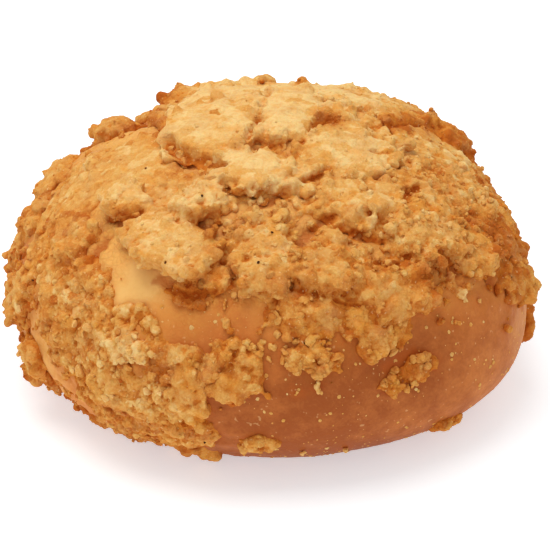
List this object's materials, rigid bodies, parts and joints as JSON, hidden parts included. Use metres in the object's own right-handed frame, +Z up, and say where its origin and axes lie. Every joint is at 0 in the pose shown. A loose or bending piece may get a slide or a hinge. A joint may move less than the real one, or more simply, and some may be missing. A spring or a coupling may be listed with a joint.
{
  "type": "soboro bun",
  "caption": "Round sweet bun with a tall dome, covered in baked streusel plates, clumps and crumbs, with bare brown bread showing low at the front and a flat base.",
  "frame": {"origin": "on the flat base, under the middle of the bread's belly", "axes": "+Z up through the crown; -Y faces the front, where the ledge of the crust and the bare bread show best; the crown leans a little towards +X"},
  "size_m": [0.1153, 0.1117, 0.0595],
  "materials": {
    "baked_crust": "matt, dry baked bread and streusel"
  },
  "bodies": {
    "root": {"soboro_bun": "baked_crust"}
  },
  "joints": []
}
